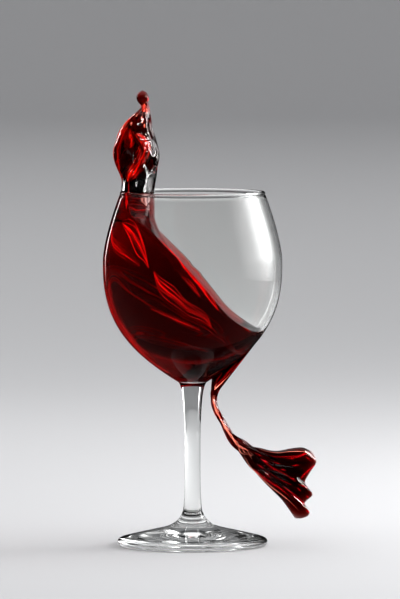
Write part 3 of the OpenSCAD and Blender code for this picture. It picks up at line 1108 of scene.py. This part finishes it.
def painted_light_material(name):
    """Painted light that glows in place of light gathered in a fold: streaked along the flow, bright in
    the middle and clear at the edges.
    """
    bright, deep, glow, cover = PAINTED_LIGHT_KINDS[name]
    material, tree, shader, _ = new_material(name)
    set_inputs(shader, Roughness=0.4, Specular_IOR_Level=0.1)
    flow = add_attribute(tree, "flow")
    lines, middle = bright_streaks(tree, flow), bright_middle(tree, flow)
    tint_painted_light(tree, shader, lines, bright, deep)
    strength = add_math(tree, "MULTIPLY_ADD")
    strength.inputs[1].default_value = glow
    strength.inputs[2].default_value = LEAST_GLOW * glow
    tree.links.new(lines, strength.inputs[0])
    join(strength, "Value", shader, "Emission Strength")
    seen = add_node(tree, "MapRange", To_Min=LEAST_COVER * cover, To_Max=cover)
    tree.links.new(lines, seen.inputs["Value"])
    both = add_math(tree, "MULTIPLY")
    join(seen, "Result", both, 0)
    tree.links.new(middle, both.inputs[1])
    join(both, "Value", shader, "Alpha")
    return material


def bubble_material():
    material, tree, shader, _ = new_material("wine_bubble")
    set_inputs(shader, Base_Color=(1.0, 0.8, 0.75, 1), IOR=GLASS_IOR, Transmission_Weight=1.0)
    vary_roughness(tree, shader, 900.0, 0.0, 0.03)
    return material


def stage_material():
    material, tree, shader, _ = new_material("studio_floor")
    set_inputs(shader, Base_Color=(0.62, 0.62, 0.63, 1), Specular_IOR_Level=0.0)
    vary_roughness(tree, shader, 30.0, 0.5, 0.62)
    return material


def black_card_material(name):
    material, _, shader, _ = new_material(name)
    set_inputs(shader, Base_Color=(0.01, 0.01, 0.01, 1), Roughness=0.9, Specular_IOR_Level=0.0)
    return material


# ---- studio, in metres ----

STAGE_SIDES = 96
FLOOR_FLAT_R = 6.5
COVE_R = 1.5
COVE_HIGH = 2.5
COVE_STEPS = 12
# The floor lies a hair below the foot, so that the two faces don't coincide
FLOOR_GAP = 0.00008
# The dark surround: its radius and height, and how far above the floor it starts
DARK_R = 5.5
DARK_HIGH = 3.2
DARK_LIFT = 0.001
# The two black cards: how far to the side and behind they stand, and their size
FLAG_AWAY = 2.1
FLAG_BACK = 1.0
FLAG_SIZE = 1.5
FLAG_LIFT = 0.01
# Each light is [name, place, aim, size, brightness of its middle, share that fades to its edges].
CENTRE = (0, 0, 0.14)
LIGHTS = [
    ["right_softbox", (0.95, 0.15, 0.42), CENTRE, (1.7, 1.3), 3.6, 0.8],
    ["right_core", (0.92, 0.3, 0.5), CENTRE, (1.0, 1.3), 5.5, 1.0],
    ["left_strip", (-0.55, 0.95, 0.3), CENTRE, (0.12, 0.6), 4.0, 0.8],
    ["overhead", (0.0, 1.0, 5.0), (0, 1.0, 0), (11.0, 11.0), 1.3, 0.5],
]
SPLASH_AIM = (0, 0, 0.2)
SPLASH_KEYS = [
    ["splash_key", (1.0, -0.42, 0.5), SPLASH_AIM, (0.7, 0.9), 30.0, 0.4],
    ["splash_top", (-0.35, -0.7, 1.2), SPLASH_AIM, (0.35, 0.35), 30.0, 0.5],
    ["splash_rear", (-0.9, 0.75, 0.6), SPLASH_AIM, (0.4, 0.8), 22.0, 0.4],
]
AIR_COLOUR = (0.6, 0.62, 0.65, 1)
AIR_STRENGTH = 0.12


def studio_piece(name, points, faces, material):
    mesh = bpy.data.meshes.new(name)
    mesh.from_pydata(points, [], faces)
    mesh.materials.append(material)
    return link_object(name, mesh)


def make_stage():
    """A round floor that curves up into a low wall, alike from every side."""
    rings = [(0.02, 0), (0.5, 0), (1.5, 0), (3, 0), (FLOOR_FLAT_R, 0)]
    for i in range(1, COVE_STEPS + 1):
        a = pi / 2 * i / COVE_STEPS
        rings.append((FLOOR_FLAT_R + COVE_R * sin(a), COVE_R * (1 - cos(a))))
    rings.append((FLOOR_FLAT_R + COVE_R, COVE_R + COVE_HIGH))
    points = [(0, 0, 0)]
    for r, z in rings:
        points += ring_of(r, z, even_angles(STAGE_SIDES))
    faces = [(0, 1 + j, 1 + (j + 1) % STAGE_SIDES) for j in range(STAGE_SIDES)]
    faces += [tuple(1 + k for k in face) for face in band_faces(len(rings), STAGE_SIDES)]
    floor = studio_piece("studio_floor", points, faces, stage_material())
    floor.data.shade_smooth()
    floor.location.z = -FLOOR_GAP


def soften_edges(data, softness):
    """Lets a light fade to nothing towards its four edges."""
    data.use_nodes = True
    tree = data.node_tree
    emission = tree.nodes["Emission"]
    place = add_node(tree, "NewGeometry")
    parts = add_node(tree, "SeparateXYZ")
    join(place, "Parametric", parts, "Vector")
    both = add_math(tree, "MULTIPLY")
    for k, axis in enumerate(("X", "Y")):
        ramp = add_math(tree, "PINGPONG")
        ramp.inputs[1].default_value = 0.5
        tree.links.new(parts.outputs[axis], ramp.inputs[0])
        fade = add_node(tree, "MapRange", From_Max=softness / 2)
        fade.interpolation_type = "SMOOTHSTEP"
        join(ramp, "Value", fade, "Value")
        join(fade, "Result", both, k)
    join(both, "Value", emission, "Strength")


def softbox(name, place, target, size, radiance, softness):
    """A rectangle of light, as bright in its middle as radiance says."""
    data = bpy.data.lights.new(name, "AREA")
    data.shape = "RECTANGLE"
    data.size, data.size_y = size
    data.energy = radiance * pi * size[0] * size[1]
    soften_edges(data, softness)
    light = link_object(name, data)
    light.location = place
    aim = Vector(target) - Vector(place)
    light.rotation_euler = aim.to_track_quat("-Z", "Y").to_euler()
    light.visible_camera = False
    return light


def light_only(light, pieces):
    """Lets a light shine on a few pieces and on nothing else."""
    chosen = bpy.data.collections.new(light.name + "_pieces")
    for piece in pieces:
        chosen.objects.link(piece)
    light.light_linking.receiver_collection = chosen


def make_splash_keys(pieces):
    """Small bright boxes that put the hard white highlights on the two splashes."""
    for key in SPLASH_KEYS:
        light_only(softbox(*key), pieces)


def only_mirrored(obj, through_glass=False):
    """Keeps a piece of the studio out of sight but for what mirrors it, or bends light from it too."""
    obj.visible_camera = False
    obj.visible_diffuse = False
    obj.visible_transmission = through_glass
    obj.visible_shadow = False


def make_flag(name, side):
    """A black card far to one side, which gives the clear glass dark edges against the pale floor."""
    half = FLAG_SIZE / 2
    corners = [(-half, 0, FLAG_LIFT), (half, 0, FLAG_LIFT), (half, 0, FLAG_SIZE), (-half, 0, FLAG_SIZE)]
    flag = studio_piece(name, corners, [(0, 1, 2, 3)], black_card_material(name))
    flag.location = (side * FLAG_AWAY, FLAG_BACK, 0)
    flag.rotation_euler.z = atan2(FLAG_BACK, side * FLAG_AWAY) - pi / 2
    only_mirrored(flag, through_glass=True)


def make_dark_surround():
    """A black ring on the floor and a black wall round it, which only glass and wine mirror."""
    rings = [(0.05, DARK_LIFT), (0.3, DARK_LIFT), (DARK_R, DARK_LIFT), (DARK_R, DARK_HIGH)]
    points = [p for r, z in rings for p in ring_of(r, z, even_angles(STAGE_SIDES))]
    faces, black = band_faces(len(rings), STAGE_SIDES), black_card_material("dark_surround")
    only_mirrored(studio_piece("dark_surround", points, faces, black))


def make_lights():
    for light in LIGHTS:
        softbox(*light)
    world = bpy.data.worlds.new("studio_air")
    world.use_nodes = True
    set_inputs(world.node_tree.nodes["Background"], Color=AIR_COLOUR, Strength=AIR_STRENGTH)
    bpy.context.scene.world = world


CAMERA_FAR = 4.0
CAMERA_TILT = radians(3.6)
CAMERA_AIM = Vector((0.0042, 0, 0.139))
CAMERA_CLIP = 100
# The height that the picture shows at the glass, in metres, and the size of the sensor
FRAME_HIGH = 0.3375
SENSOR = 36.0


def make_camera():
    """A long lens that looks down a little on the glass, as in the photo."""
    data = bpy.data.cameras.new("camera")
    data.sensor_width = SENSOR
    data.lens = SENSOR * CAMERA_FAR / FRAME_HIGH
    data.clip_end = CAMERA_CLIP
    camera = link_object("camera", data)
    back = Vector((0, -cos(CAMERA_TILT), sin(CAMERA_TILT)))
    camera.location = CAMERA_AIM + back * CAMERA_FAR
    camera.rotation_euler = (-back).to_track_quat("-Z", "Y").to_euler()
    bpy.context.scene.camera = camera


BOUNCES = 24


def set_render():
    """Enough bounces for glass and wine, and how bright the picture comes out."""
    scene = bpy.context.scene
    scene.cycles.max_bounces = BOUNCES
    scene.cycles.transmission_bounces = BOUNCES
    scene.cycles.glossy_bounces = 8
    scene.cycles.transparent_max_bounces = 16
    scene.view_settings.view_transform = "Standard"
    scene.view_settings.gamma = 0.85
    scene.view_settings.exposure = 0.3


make_camera()
glass = make_glass(glass_material("clear_glass", False), glass_material("clear_glass_wet", True))
wine = make_wine(wine_material("red_wine", WINE_CLEAR, WINE_DENSITY))
leap = make_leap(wine_material("red_wine_leap", LEAP_CLEAR, LEAP_DENSITY))
drop = make_drop(wine_material("red_wine_fan", FAN_CLEAR, FAN_DENSITY))
# Painted light: glowing strips for painted glow in the wine, a painted reflection on the tongue and
# painted highlights on the splashes.
make_painted_glow_folds(painted_light_material("painted_glow_wine"))
make_painted_glow_crescents(painted_light_material("painted_glow_wall"))
make_painted_tongue_reflection(painted_light_material("painted_reflection_tongue"))
make_painted_leap_glow(painted_light_material("painted_glow_leap"))
make_painted_fan_glow(painted_light_material("painted_glow_fan"))
make_painted_highlights(painted_light_material("painted_highlight_strand"))
make_bubbles(bubble_material())
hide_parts("glass")
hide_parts("wine")
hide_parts("wine")
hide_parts("hanging_splash")
make_stage()
make_lights()
make_splash_keys([leap, drop])
make_dark_surround()
make_flag("right_flag", 1)
make_flag("left_flag", -1)
set_render()
